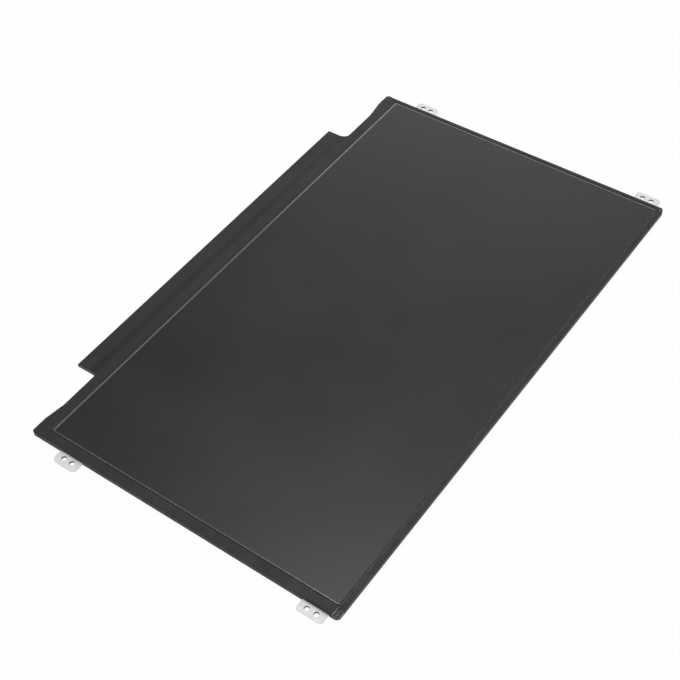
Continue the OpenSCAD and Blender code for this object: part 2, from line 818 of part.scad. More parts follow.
module ear_notches() {
    for (y = [ear_board_y, ear_top_y])
        block(-body_w, body_w, y - ear_w / 2 - leg_gap, y + ear_w / 2 + leg_gap, -eps, notch_z);
}

module bezel_tape_top() {
    bezel_tape(concat(seam_top_left, reversed(seam_top_right)));
}

module side_tape(seam_top, seam_low) {
    difference() {
        bezel_tape(concat(shifted(seam_top, [0, -tape_joint]), [[seam_top[2][0], seam_low[2][1]]],
            reversed(seam_low)));
        ear_notches();
    }
}

module bezel_tape_left() {
    side_tape(seam_top_left, seam_low_left);
}

module bezel_tape_right() {
    side_tape(seam_top_right, seam_low_right);
}

// Tape beside the flange, creased sharply over the edge
module board_tape(seam_low, side) {
    x = side * (film_half_w + tape_joint);
    color("#1c1c1e") intersection() {
        difference() {
            slab(skirt_lift, tape_top) body_plan();
            slab(-eps, frame_top) body_plan(tape_t);
        }
        slab(-eps, tape_top + eps) polygon(concat(shifted(seam_low, [-side * tape_joint, 0]),
            [[x, -body_h], [x, film_y1]]));
    }
}

module bezel_tape_board_left() {
    board_tape(seam_low_left, -1);
}

module bezel_tape_board_right() {
    board_tape(seam_low_right, 1);
}

// Brackets: an upright strip against the frame with two ears bent outwards

module ear(y, reach, corner, hole_out) {
    tip = half_w + reach;
    bend_x = leg_x + bend_r;
    w = ear_w / 2;
    translate([0, y, 0]) {
        block(leg_x - bracket_t, leg_x, -w, w, ear_top_z + bend_r, bracket_top_z);
        translate([bend_x, w, ear_top_z + bend_r]) rotate([90, 0, 0]) linear_extrude(ear_w)
            intersection() {
                difference() {
                    circle(bend_r + bracket_t);
                    circle(bend_r);
                }
                translate([-bend_r - bracket_t, -bend_r - bracket_t])
                    square(bend_r + bracket_t);
            }
        difference() {
            slab(ear_z, ear_top_z) {
                polygon([[bend_x, -w], [tip - corner, -w], [tip, -w + corner],
                    [tip, w - corner], [tip - corner, w], [bend_x, w]]);
                for (s = [-1, 1]) translate([tip - corner, s * (w - corner)]) circle(corner);
            }
            for (s = [-1, 1]) translate([half_w + hole_out, s * hole_pitch / 2, 0])
                cylinder(d = hole_d, h = frame_top);
        }
    }
}

module bracket(reach_top, reach_board, hole_out) {
    w = ear_w / 2 + leg_over;
    x = leg_x - bracket_t;
    block(x, leg_x, ear_board_y - w, ear_top_y + w, bracket_top_z - strip_h, bracket_top_z);
    ear(ear_top_y, reach_top, ear_corner_top, hole_out);
    ear(ear_board_y, reach_board, ear_corner_board, hole_out);
}

module bracket_left() {
    color("#d5d7da") mirror([1, 0, 0]) bracket(reach_left, reach_left, hole_out_left);
}

module bracket_right() {
    color("#d5d7da") bracket(reach_right_top, reach_right_board, hole_out_right);
}

rear_cover();
mould_frame();
reflector_sheet();
light_guide();
light_bar_flex();
light_packages();
diffuser_sheet();
lower_prism_sheet();
upper_prism_sheet();
top_diffuser_sheet();
rim_tape();
rear_polarizer();
array_glass();
cell_seal();
colour_filter_glass();
front_polarizer();
driver_chips();
source_flexes();
touch_flex();
control_board();
board_adhesive();
board_film();
timing_controller();
touch_controller();
power_chips();
inductors();
capacitors();
resistors();
connector_housing();
connector_contacts();
connector_cover();
light_bar_socket();
bezel_tape_top();
bezel_tape_left();
bezel_tape_right();
bezel_tape_board_left();
bezel_tape_board_right();
bracket_left();
bracket_right();
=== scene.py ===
"""Dresses a slim laptop display module and stands it in a plain white studio.

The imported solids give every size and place. This script sets the lamps and the camera, gives each
surface its finish and adds the few thin forms that the solids leave out.
"""

import json
import logging
import math
from dataclasses import dataclass, field
from enum import Enum

import bpy
import numpy as np
from mathutils import Matrix, Vector


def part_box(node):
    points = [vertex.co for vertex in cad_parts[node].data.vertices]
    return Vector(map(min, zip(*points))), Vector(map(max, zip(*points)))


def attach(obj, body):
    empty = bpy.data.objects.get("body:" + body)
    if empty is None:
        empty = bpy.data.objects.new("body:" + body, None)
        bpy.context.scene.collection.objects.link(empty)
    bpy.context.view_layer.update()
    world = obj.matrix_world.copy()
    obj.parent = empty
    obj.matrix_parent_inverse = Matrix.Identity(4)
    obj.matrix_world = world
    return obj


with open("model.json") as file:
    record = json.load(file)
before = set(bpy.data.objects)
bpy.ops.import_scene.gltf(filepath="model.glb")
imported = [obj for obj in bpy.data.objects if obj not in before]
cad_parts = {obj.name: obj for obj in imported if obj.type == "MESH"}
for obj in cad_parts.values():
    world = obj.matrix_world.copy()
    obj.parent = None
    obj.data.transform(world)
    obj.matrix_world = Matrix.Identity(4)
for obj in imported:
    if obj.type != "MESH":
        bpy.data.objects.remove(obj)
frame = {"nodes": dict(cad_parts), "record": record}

LOG = logging.getLogger("display_module")
MM = 0.001
BODY = "root"
Colour = tuple[float, float, float]
Pair = tuple[float, float]

# The black films and the screen shine a little less than glass does, and slightly blue.
GLOSS_LEVEL = 0.42
COOL_GLOSS: Colour = (0.982, 0.982, 1.026)

PLAIN_MOTTLE = 6 * MM

# Noise values between which a pattern turns from one look to the other.
SOFT_BAND: Pair = (0.35, 0.65)
WIDE_BAND: Pair = (0.3, 0.7)


class Axis(Enum):
    """The row's axes, by their place in a vector."""

    X = 0
    Y = 1
    Z = 2


class Shader:
    """A small writer of node trees that hands back sockets."""

    def __init__(self, name: str) -> None:
        """Starts an empty material.

        Args:
            name: The material's name.
        """
        self.material = bpy.data.materials.new(name)
        self.material.use_nodes = True
        self.tree = self.material.node_tree
        self.tree.nodes.clear()
        self.surface = self.add("ShaderNodeBsdfPrincipled")
        out = self.add("ShaderNodeOutputMaterial")
        self.tree.links.new(self.surface.outputs[0], out.inputs[0])
        self.place = self.add("ShaderNodeTexCoord").outputs["Object"]

    def add(self, kind: str, **settings: object) -> bpy.types.Node:
        """Adds a node and sets its own properties.

        Args:
            kind: The node's type name.
            **settings: Properties of the node.

        Returns:
            The new node.
        """
        node = self.tree.nodes.new(kind)
        for key, value in settings.items():
            setattr(node, key, value)
        return node

    def feed(self, socket: bpy.types.NodeSocket, value: object) -> None:
        """Links a socket to an output, or sets it to a plain value.

        Args:
            socket: The input to feed.
            value: An output's socket, or a number, colour or vector.
        """
        if isinstance(value, bpy.types.NodeSocket):
            self.tree.links.new(value, socket)
        else:
            socket.default_value = value

    def math(self, operation: str, *values: object) -> bpy.types.NodeSocket:
        """Works out one number from others.

        Args:
            operation: The Math node's operation.
            *values: Numbers or sockets.

        Returns:
            The result's socket.
        """
        node = self.add("ShaderNodeMath", operation=operation)
        for socket, value in zip(node.inputs, values):
            self.feed(socket, value)
        return node.outputs[0]

    def noise(self, size: float, detail: float = 3.0, stretch: Colour = (1, 1, 1),
              distortion: float = 0.0) -> bpy.types.NodeSocket:
        """Noise whose blotches are about one given size across.

        Args:
            size: The size of a blotch in metres.
            detail: Octaves of finer noise.
            stretch: How many times longer the blotches are along X, Y and Z.
            distortion: How far the pattern is warped.

        Returns:
            The noise value from 0 to 1.
        """
        mapping = self.add("ShaderNodeMapping")
        self.feed(mapping.inputs["Vector"], self.place)
        mapping.inputs["Scale"].default_value = [1.0 / s for s in stretch]
        node = self.add("ShaderNodeTexNoise")
        self.feed(node.inputs["Vector"], mapping.outputs[0])
        node.inputs["Scale"].default_value = 1.0 / size
        node.inputs["Detail"].default_value = detail
        node.inputs["Distortion"].default_value = distortion
        return node.outputs["Fac"]

    def span(self, value: bpy.types.NodeSocket, band: Pair,
             ends: Pair = (0.0, 1.0)) -> bpy.types.NodeSocket:
        """Maps a band of values onto the range between two ends, clamped.

        Args:
            value: The value's socket.
            band: The values that give the first and the second end.
            ends: The results at the band's two sides and beyond them.

        Returns:
            The result's socket.
        """
        node = self.add("ShaderNodeMapRange")
        for socket, number in zip(node.inputs, (value, *band, *ends)):
            self.feed(socket, number)
        return node.outputs[0]

    def blend(self, share: object, first: object, second: object) -> bpy.types.NodeSocket:
        """Mixes two colours.

        Args:
            share: The second colour's share from 0 to 1.
            first: A colour or a socket.
            second: A colour or a socket.

        Returns:
            The mixed colour's socket.
        """
        node = self.add("ShaderNodeMix", data_type="RGBA")
        self.feed(node.inputs[0], share)
        for socket, colour in ((node.inputs[6], first), (node.inputs[7], second)):
            self.feed(socket, colour if isinstance(colour, bpy.types.NodeSocket) else (*colour, 1.0))
        return node.outputs[2]

    def along(self, axis: Axis) -> bpy.types.NodeSocket:
        """The place along one of the row's axes, in metres."""
        split = self.add("ShaderNodeSeparateXYZ")
        self.feed(split.inputs[0], self.place)
        return split.outputs[axis.value]

    def crests(self, axis: Axis, pitch: float, shift: object = 0.0) -> bpy.types.NodeSocket:
        """The sine of the place along an axis, with one crest in each pitch.

        Args:
            axis: The axis that the crests follow one another along.
            pitch: Metres from crest to crest.
            shift: An angle in radians that is added before the sine.

        Returns:
            The sine's socket, from -1 to 1.
        """
        turns = self.math("MULTIPLY", self.along(axis), 2 * math.pi / pitch)
        return self.math("SINE", self.math("ADD", turns, shift))

    def fed_by(self, name: str) -> bpy.types.NodeSocket:
        """The output that feeds one of the surface's own sockets so far."""
        return self.surface.inputs[name].links[0].from_socket

    def patch(self, centre: Colour, reach: Colour, turn: float = 0.0) -> bpy.types.NodeSocket:
        """A soft round spot: 1 at its centre, 0 where the distance in units of its reach is 1.

        Args:
            centre: The spot's middle in metres.
            reach: Its half sizes along its own axes, in metres.
            turn: How far it is turned about Z, in radians.

        Returns:
            The spot's strength from 0 to 1.
        """
        mapping = self.add("ShaderNodeMapping", vector_type="TEXTURE")
        self.feed(mapping.inputs["Vector"], self.place)
        mapping.inputs["Location"].default_value = centre
        mapping.inputs["Rotation"].default_value = (0.0, 0.0, turn)
        mapping.inputs["Scale"].default_value = reach
        spot = self.add("ShaderNodeTexGradient", gradient_type="SPHERICAL")
        self.feed(spot.inputs[0], mapping.outputs[0])
        return spot.outputs["Fac"]

    def bump(self, *layers: tuple[bpy.types.NodeSocket, float]) -> None:
        """Roughens the surface with heights given in metres.

        Args:
            *layers: Pairs of a height pattern from 0 to 1 and its depth in metres.
        """
        normal = None
        for height, depth in layers:
            node = self.add("ShaderNodeBump")
            node.inputs["Strength"].default_value = 1.0
            node.inputs["Distance"].default_value = depth
            self.feed(node.inputs["Height"], height)
            if normal is not None:
                self.feed(node.inputs["Normal"], normal)
            normal = node.outputs[0]
        self.feed(self.surface.inputs["Normal"], normal)

    def set(self, **values: object) -> None:
        """Sets the surface's own sockets.

        Args:
            **values: Socket names, with underscores for their spaces, and what feeds each.
        """
        for key, value in values.items():
            name = key.replace("_", " ")
            if isinstance(value, tuple) and len(value) == 3:
                value = (*value, 1.0)
            self.feed(self.surface.inputs[name], value)


@dataclass(frozen=True)
class Finish:
    """The look of one material, from which a node tree is made."""

    name: str
    colour: Colour
    roughness: float = 0.5

    @property
    def darker(self) -> Colour:
        """The colour of the mottle's dark side."""
        return tuple(0.9 * c for c in self.colour)

    def material(self) -> bpy.types.Material:
        """Finds this finish's material by its name, or makes it.

        Returns:
            The finished material.
        """
        made = bpy.data.materials.get(self.name)
        if made is not None:
            return made
        shader = Shader(self.name)
        shader.set(Base_Color=self.colour, Roughness=self.roughness)
        self.dress(shader)
        return shader.material

    def dress(self, shader: Shader) -> None:
        """Adds this finish's own pattern; a plain finish has a faint mottle.

        Args:
            shader: The tree to write to.
        """
        shader.set(Base_Color=shader.blend(shader.noise(PLAIN_MOTTLE), self.darker, self.colour))


@dataclass(frozen=True)
class Film(Finish):
    """Matt black film: a fine grain, short creases, long waves, rubbed spots and flecks."""

    grain: float = 0.25 * MM
    grain_depth: float = 0.004 * MM
    wave: float = 9 * MM
    wave_depth: float = 0.03 * MM
    stretch: Colour = (1.0, 1.0, 1.0)
    crease: float = 1.7 * MM
    crease_depth: float = 0.02 * MM
    rub: float = 3 * MM
    rub_band: Pair = (0.56, 0.74)
    rub_share: float = 0.45
    fleck: float = 0.7 * MM
    fleck_band: Pair = (0.68, 0.8)
    fleck_share: float = 0.35
    rubbed: Colour = (0.06, 0.06, 0.062)
    polished: float = 0.05
    dulled: float = 0.06

    def dress(self, shader: Shader) -> None:
        """Grain, creases and waves as bump, rubbed spots and flecks as colour, waves as roughness.

        Args:
            shader: The tree to write to.
        """
        grain = shader.noise(self.grain, 2.0)
        waves = shader.noise(self.wave, 1.0, self.stretch)
        creases = shader.noise(self.crease, 3.0, self.stretch, 0.8)
        rubs = shader.noise(self.rub, 5.0, self.stretch)
        rubs = shader.span(rubs, self.rub_band, (0.0, self.rub_share))
        flecks = shader.span(shader.noise(self.fleck, 2.0), self.fleck_band, (0.0, self.fleck_share))
        colour = shader.blend(rubs, self.colour, self.rubbed)
        ends = (self.roughness - self.polished, self.roughness + self.dulled)
        rough = shader.span(waves, WIDE_BAND, ends)
        shader.set(Base_Color=shader.blend(flecks, colour, self.rubbed), Roughness=rough,
                   Specular_IOR_Level=GLOSS_LEVEL, Specular_Tint=COOL_GLOSS)
        shader.bump((waves, self.wave_depth), (creases, self.crease_depth), (grain, self.grain_depth))


@dataclass(frozen=True)
class EdgeShadedFilm(Film):
    """Black film with a darker line beside the glass: painted shadow under the film's lifted edge."""

    shade_line_y: float = -72.95 * MM
    shade_line_width: float = 0.35 * MM
    painted_shade_colour: Colour = (0.003, 0.003, 0.003)
    shade_line_dulled: float = 0.1

    def dress(self, shader: Shader) -> None:
        """The painted shadow is a narrow band along X, darker and rougher than the rest.

        Args:
            shader: The tree to write to.
        """
        super().dress(shader)
        # Painted shadow: a dark band along X under the film's lifted edge beside the glass.
        off = shader.math("ABSOLUTE", shader.math("SUBTRACT", shader.along(Axis.Y), self.shade_line_y))
        line = shader.span(off, (0.3 * self.shade_line_width, self.shade_line_width), (1.0, 0.0))
        duller = shader.math("MULTIPLY", line, self.shade_line_dulled)
        shader.set(Base_Color=shader.blend(line, shader.fed_by("Base Color"), self.painted_shade_colour),
                   Roughness=shader.math("ADD", shader.fed_by("Roughness"), duller))


@dataclass(frozen=True)
class Smudge:
    """A faint mark on the screen: its middle and half sizes in millimetres, its turn in radians."""

    x: float
    y: float
    long: float
    wide: float
    turn: float
    strength: float


@dataclass(frozen=True)
class ScreenFilm(Finish):
    """Anti-glare film over the dark cell: satin, with slow clouds, a fine tooth and faint smudges."""

    height: float = 2.9 * MM
    cloud: Colour = (0.0055, 0.0054, 0.0058)
    cloud_size: float = 60 * MM
    cloud_roughness: float = 0.015
    mark: Colour = (0.0, 0.0, 0.0)
    mark_dulled: float = 0.07
    mark_reach: float = 40 * MM
    mark_level: float = 0.6
    mark_round: float = 0.3
    tooth: float = 0.12 * MM
    tooth_depth: float = 0.0006 * MM
    smudges: tuple[Smudge, ...] = ()

    def dress(self, shader: Shader) -> None:
        """Clouds and smudges as colour and roughness, the tooth as bump.

        A smudge is strongest over its flat middle and fades to nothing at its half sizes.

        Args:
            shader: The tree to write to.
        """
        clouds = shader.noise(self.cloud_size, 2.0, distortion=0.6)
        colour = shader.blend(shader.span(clouds, SOFT_BAND), self.colour, self.cloud)
        ends = (self.roughness - self.cloud_roughness, self.roughness + self.cloud_roughness)
        rough = shader.span(clouds, WIDE_BAND, ends)
        for at in self.smudges:
            spot = shader.patch((at.x * MM, at.y * MM, self.height),
                                (at.long * MM, at.wide * MM, self.mark_reach), at.turn)
            flat = shader.math("SMOOTH_MIN", spot, self.mark_level, self.mark_round)
            soft = shader.math("MULTIPLY", flat, at.strength)
            colour = shader.blend(soft, colour, self.mark)
            rough = shader.math("ADD", rough, shader.math("MULTIPLY", soft, self.mark_dulled))
        shader.set(Base_Color=colour, Roughness=rough, Specular_IOR_Level=GLOSS_LEVEL,
                   Specular_Tint=COOL_GLOSS)
        shader.bump((shader.noise(self.tooth, 1.0), self.tooth_depth))


@dataclass(frozen=True)
class Metal(Finish):
    """Sheet metal: fine drawn lines, dull spots and slow dents."""

    drawn: Colour = (14.0, 1.0, 1.0)
    line: float = 0.25 * MM
    line_depth: float = 0.002 * MM
    dull: Colour = (0.5, 0.5, 0.51)
    metallic: float = 1.0
    spot: float = 4 * MM
    spot_band: Pair = (0.5, 0.75)
    spot_share: float = 0.5
    dent: float = 25 * MM
    dent_depth: float = 0.02 * MM
    polished: float = 0.06
    dulled: float = 0.08

    def dress(self, shader: Shader) -> None:
        """Drawn lines as bump and roughness, dull spots as colour, slow dents as bump.

        Args:
            shader: The tree to write to.
        """
        lines = shader.noise(self.line, 4.0, self.drawn)
        spots = shader.span(shader.noise(self.spot, 5.0), self.spot_band, (0.0, self.spot_share))
        ends = (self.roughness - self.polished, self.roughness + self.dulled)
        shader.set(Base_Color=shader.blend(spots, self.colour, self.dull), Metallic=self.metallic,
                   Roughness=shader.span(lines, WIDE_BAND, ends))
        shader.bump((lines, self.line_depth), (shader.noise(self.dent, 1.0), self.dent_depth))


@dataclass(frozen=True)
class Moulded(Finish):
    """Moulded plastic or a chip's resin: a fine spark-eroded grain."""

    grain: float = 0.12 * MM
    grain_depth: float = 0.003 * MM
    mottle: float = 2.5 * MM

    @property
    def paler(self) -> Colour:
        """The colour of the mottle's pale side."""
        return tuple(min(1.0, 1.15 * c + 0.004) for c in self.colour)

    def dress(self, shader: Shader) -> None:
        """Grain as bump, slow mottle as colour.

        Args:
            shader: The tree to write to.
        """
        share = shader.span(shader.noise(self.mottle, 3.0), SOFT_BAND)
        shader.set(Base_Color=shader.blend(share, self.colour, self.paler))
        shader.bump((shader.noise(self.grain, 2.0), self.grain_depth))


@dataclass(frozen=True)
class Clear(Finish):
    """Glass or clear film over a dark ground: smooth, with a thin bright coat."""

    coat: float = 0.6
    coat_roughness: float = 0.08
    dust: float = 1.2 * MM
    dust_band: Pair = (0.55, 0.8)
    dust_colour: Colour = (0.3, 0.3, 0.3)
    dust_share: float = 0.5
    ripple: float = 3 * MM
    ripple_depth: float = 0.001 * MM

    def dress(self, shader: Shader) -> None:
        """A coat for the ground edge, a trace of dust as colour and a faint ripple as bump.

        Args:
            shader: The tree to write to.
        """
        dust = shader.span(shader.noise(self.dust, 5.0), self.dust_band, (0.0, self.dust_share))
        shader.set(Base_Color=shader.blend(dust, self.colour, self.dust_colour), Coat_Weight=self.coat,
                   Coat_Roughness=self.coat_roughness)
        shader.bump((shader.noise(self.ripple, 1.0), self.ripple_depth))


@dataclass(frozen=True)
class BoardMask(Finish):
    """Solder mask over copper: paler raised tracks in long runs, and a gloss coat."""

    track: Colour = (0.03, 0.16, 0.09)
    track_band: Pair = (0.1, 0.3)
    track_height: float = 0.02 * MM
    pitch: float = 0.9 * MM
    run: float = 5 * MM
    run_stretch: Colour = (2.5, 1.0, 1.0)
    shift: float = 30.0
    coat: float = 0.5
    coat_roughness: float = 0.15

    def dress(self, shader: Shader) -> None:
        """Tracks are the crests of a sine along Y, shifted by a slow noise that is long along X.

        Args:
            shader: The tree to write to.
        """
        runs = shader.noise(self.run, 0.0, self.run_stretch)
        wave = shader.crests(Axis.Y, self.pitch, shader.math("MULTIPLY", runs, self.shift))
        tracks = shader.span(wave, self.track_band)
        shader.set(Base_Color=shader.blend(tracks, self.colour, self.track), Coat_Weight=self.coat,
                   Coat_Roughness=self.coat_roughness)
        shader.bump((tracks, self.track_height))


@dataclass(frozen=True)
class FlexFoil(Finish):
    """Amber foil with fine copper traces side by side along X."""

    trace: Colour = (0.62, 0.34, 0.14)
    trace_band: Pair = (0.0, 0.2)
    pitch: float = 0.3 * MM
    coat: float = 0.4
    coat_roughness: float = 0.1

    def dress(self, shader: Shader) -> None:
        """Traces are the crests of a sine along X.

        Args:
            shader: The tree to write to.
        """
        share = shader.span(shader.crests(Axis.X, self.pitch), self.trace_band)
        shader.set(Base_Color=shader.blend(share, self.colour, self.trace), Coat_Weight=self.coat,
                   Coat_Roughness=self.coat_roughness)


@dataclass(frozen=True)
class Ribbed(Finish):
    """Prism film: clear ribs finer than the eye resolves, side by side along one axis."""

    pitch: float = 0.05 * MM
    rib_height: float = 0.01 * MM
    across: Axis = Axis.X
    clearness: float = 0.4

    def dress(self, shader: Shader) -> None:
        """The ribs are a sine in height along the axis.

        Args:
            shader: The tree to write to.
        """
        shader.set(Transmission_Weight=self.clearness)
        shader.bump((shader.span(shader.crests(self.across, self.pitch), (-1.0, 1.0)), self.rib_height))


def mesh_piece(name: str, points: np.ndarray, faces: np.ndarray, smooth: bool = True) -> bpy.types.Object:
    """Puts whole arrays into a new mesh object at the origin.

    Args:
        name: The piece's name.
        points: Rows of X, Y and Z in metres.
        faces: Rows of four corner numbers.
        smooth: Whether the faces are shaded smooth.

    Returns:
        The new object, linked to the scene.
    """
    mesh = bpy.data.meshes.new(name)
    mesh.from_pydata(points.tolist(), [], faces.tolist())
    mesh.polygons.foreach_set("use_smooth", np.full(len(mesh.polygons), smooth))
    mesh.update()
    piece = bpy.data.objects.new(name, mesh)
    bpy.context.scene.collection.objects.link(piece)
    return piece


def grid_faces(rows: int, columns: int, closed: bool = False) -> np.ndarray:
    """Corner numbers of the quads between the neighbours of a grid of points.

    Args:
        rows: Points along the first parameter.
        columns: Points along the second parameter.
        closed: Whether the second parameter closes on itself.

    Returns:
        Rows of four corner numbers.
    """
    index = np.arange(rows * columns).reshape(rows, columns)
    following = np.roll(index, -1, axis=1)
    if not closed:
        index, following = index[:, :-1], following[:, :-1]
    return np.stack([index[:-1], following[:-1], following[1:], index[1:]], axis=-1).reshape(-1, 4)


def turned(profile: np.ndarray, steps: int) -> tuple[np.ndarray, np.ndarray]:
    """A surface turned about Z, whose points are r cos a, r sin a and z.

    Args:
        profile: Rows of radius and height in metres.
        steps: Points round the axis.

    Returns:
        The points and the faces.
    """
    angle = np.linspace(0.0, 2 * np.pi, steps, endpoint=False)
    radius, height = profile[:, :1], profile[:, 1:]
    points = np.stack([radius * np.cos(angle), radius * np.sin(angle), height + 0 * angle], axis=-1)
    return points.reshape(-1, 3), grid_faces(len(profile), steps, True)


def mount(name: str) -> dict:
    """One of the row's mounts by its name."""
    return next(m for m in frame["record"]["mounts"] if m["name"] == name)


@dataclass
class Part:
    """A sub-assembly: the nodes that it dresses and the forms that it adds."""

    dressed: dict[str, Finish] = field(default_factory=dict)

    def dress(self) -> None:
        """Gives each of this sub-assembly's nodes its finish."""
        for node, finish in self.dressed.items():
            mesh = frame["nodes"][node].data
            mesh.materials.clear()
            mesh.materials.append(finish.material())
            LOG.info("dressed %s in %s", node, finish.name)

    def build(self) -> None:
        """Makes the forms that the solids leave out; a plain sub-assembly has none."""

    def add(self, piece: bpy.types.Object, finish: Finish, slot: str) -> None:
        """Dresses a new piece and ties it to the body.

        Args:
            piece: The new piece, already in place.
            finish: Its finish.
            slot: The record's material slot that it follows; not used.
        """
        piece.data.materials.append(finish.material())
        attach(piece, BODY)
        LOG.info("added %s", piece.name)


TAPE = Film("tape_film", (0.008, 0.008, 0.009), 0.56, rubbed=(0.024, 0.024, 0.026))
TIGHT_TAPE = Film("stretched_tape_film", (0.0095, 0.0095, 0.0107), 0.24, wave_depth=0.02 * MM,
                  rubbed=(0.024, 0.024, 0.026))
# The board film carries a painted shadow line beside the glass.
BOARD_FILM = EdgeShadedFilm("board_film", (0.0075, 0.0075, 0.0086), 0.54, wave=14 * MM, wave_depth=0.05 * MM,
                         stretch=(2.5, 1.0, 1.0), rubbed=(0.022, 0.022, 0.024))
# Dark bead over the glass's top edge and the gap: painted shade of the groove between glass and tape.
GROOVE_SHADE_BEAD = Film("bead_painted_groove_shade", (0.016, 0.016, 0.017), 0.5, wave=2 * MM)
GLASS_EDGE = Clear("glass_edge", (0.085, 0.087, 0.09), 0.2)
# Pale grey rim: partly the cut film's own clear edge, partly a painted highlight of the glint along the
# cut.
CUT_FILM_GLINT = Clear("cut_film_rim_painted_glint", (0.095, 0.097, 0.1), 0.36, coat=0.1)
ZINC = Metal("zinc_sheet", (0.7, 0.7, 0.71), 0.55, drawn=(1.0, 8.0, 1.0), dull=(0.57, 0.57, 0.58),
             metallic=0.25)
# Dark steel of the holes' burrs: painted shadow of the ear on the floor, seen through each hole.
STEEL_PAINTED_SHADOW = Metal("steel_edge_painted_shadow", (0.1, 0.1, 0.105), 0.5, drawn=(1.0, 1.0, 6.0), line=0.1 * MM,
                  dull=(0.07, 0.07, 0.075), metallic=0.6)
COVER_SHEET = Metal("cover_sheet", (0.62, 0.625, 0.635), 0.36, dull=(0.57, 0.575, 0.585))
FRAME_RESIN = Moulded("frame_resin", (0.014, 0.014, 0.0145), 0.55)
CHIP_RESIN = Moulded("chip_resin", (0.02, 0.02, 0.022), 0.5)
IVORY = Moulded("ivory_resin", (0.7, 0.66, 0.55), 0.45)
TIN = Metal("tinned_sheet", (0.7, 0.71, 0.73), 0.28, dull=(0.52, 0.53, 0.55))
GOLD = Metal("gold_flash", (0.83, 0.62, 0.25), 0.25, dull=(0.7, 0.5, 0.2))
CERAMIC = Moulded("fired_ceramic", (0.36, 0.27, 0.17), 0.4)
FERRITE = Moulded("ferrite", (0.06, 0.06, 0.062), 0.6)
AMBER_FOIL = FlexFoil("amber_foil", (0.45, 0.2, 0.04), 0.3)
INNER_FILM = Clear("inner_film", (0.16, 0.17, 0.18), 0.2)
ACRYLIC = Clear("clear_acrylic", (0.75, 0.78, 0.78), 0.1)
WHITE_FILM = Finish("white_film", (0.86, 0.86, 0.85), 0.5)
PHOSPHOR = Finish("phosphor_resin", (0.85, 0.75, 0.3), 0.4)
RESIN_SEAL = Finish("seal_resin", (0.5, 0.48, 0.4), 0.4)


@dataclass
class Cell(Part):
    """The screen: front film, both glasses and what lies between and under them."""

    rim_board: float = 0.62 * MM
    rim_side: float = 0.06 * MM
    rim_drop: float = 0.1 * MM
    rim_lift: float = 0.004 * MM
    smudges: tuple[Smudge, ...] = (
        Smudge(62.0, -38.0, 13.0, 5.0, 0.9, 0.5),
        Smudge(-62.0, -48.0, 9.0, 4.0, 0.4, 0.45),
        Smudge(-92.0, -62.0, 6.0, 3.0, 1.2, 0.5),
        Smudge(10.0, 2.0, 14.0, 7.0, 0.2, 0.25),
    )

    def __post_init__(self) -> None:
        """Lists the finishes of the cell's nodes."""
        screen = ScreenFilm("screen_film", (0.0015, 0.0014, 0.0016), 0.38, smudges=self.smudges)
        self.dressed = {
            "front_polarizer": screen,
            "colour_filter_glass": GLASS_EDGE,
            "array_glass": GLASS_EDGE,
            "rear_polarizer": INNER_FILM,
            "cell_seal": RESIN_SEAL,
            "driver_chips": CHIP_RESIN,
            "rim_tape": TAPE,
        }

    def build(self) -> None:
        """Adds the clear rim where the front film was cut, widest on the board side; its pale grey is
        partly a painted glint.

        It is three closed rings of four corners: the inner and the outer one just over the film, and the
        outer one again, a little down the cut side.
        """
        low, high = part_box("front_polarizer")
        near, side = low.y + self.rim_board, self.rim_side
        inner = np.array([(low.x + side, near), (high.x - side, near), (high.x - side, high.y - side),
                          (low.x + side, high.y - side)])
        outer = np.array([(low.x, low.y), (high.x, low.y), (high.x, high.y), (low.x, high.y)])
        top = high.z + self.rim_lift
        rows = [(inner, top), (outer, top), (outer, high.z - self.rim_drop)]
        points = np.concatenate([np.column_stack([ring, np.full(4, z)]) for ring, z in rows])
        # The rim's grey is partly the film's edge and partly a painted highlight of its glint.
        self.add(mesh_piece("front_film_rim_painted_glint", points, grid_faces(len(rows), 4, True), False), CUT_FILM_GLINT,
                 "polarizer_front")


@dataclass(frozen=True)
class Pleats:
    """Creases of a tape where it turns one corner of the body.

    They fan out from the glass's corner, or run on along the long side past it. The sides are 1 or -1, as
    the corner's X and Y are, and the radius is the corner's rounding.
    """

    corner: str
    side_x: int
    side_y: int
    radius: float
    count: int
    height: float
    finish: Finish
    seed: int
    fanned: bool = True


@dataclass(frozen=True)
class Patch:
    """A smooth grid of points over one corner, in rows from the glass down the skirt.

    The base is each point's X and Y, both made positive. Each column has its turn from -1 to 1 round the
    corner and its direction outward. Each row has its share of the way along, its drop below the tape's
    top, and its lean, which is 0 where the tape lies flat and 1 where it hangs.
    """

    base: np.ndarray
    turn: np.ndarray
    outward: np.ndarray
    along: np.ndarray
    drop: np.ndarray
    lean: np.ndarray


@dataclass(frozen=True)
class BeadRow:
    """One long line of the bead: its steps out and up in millimetres, and its shares of the wave."""

    out: float
    up: float
    sway: float
    rise: float = 0.0


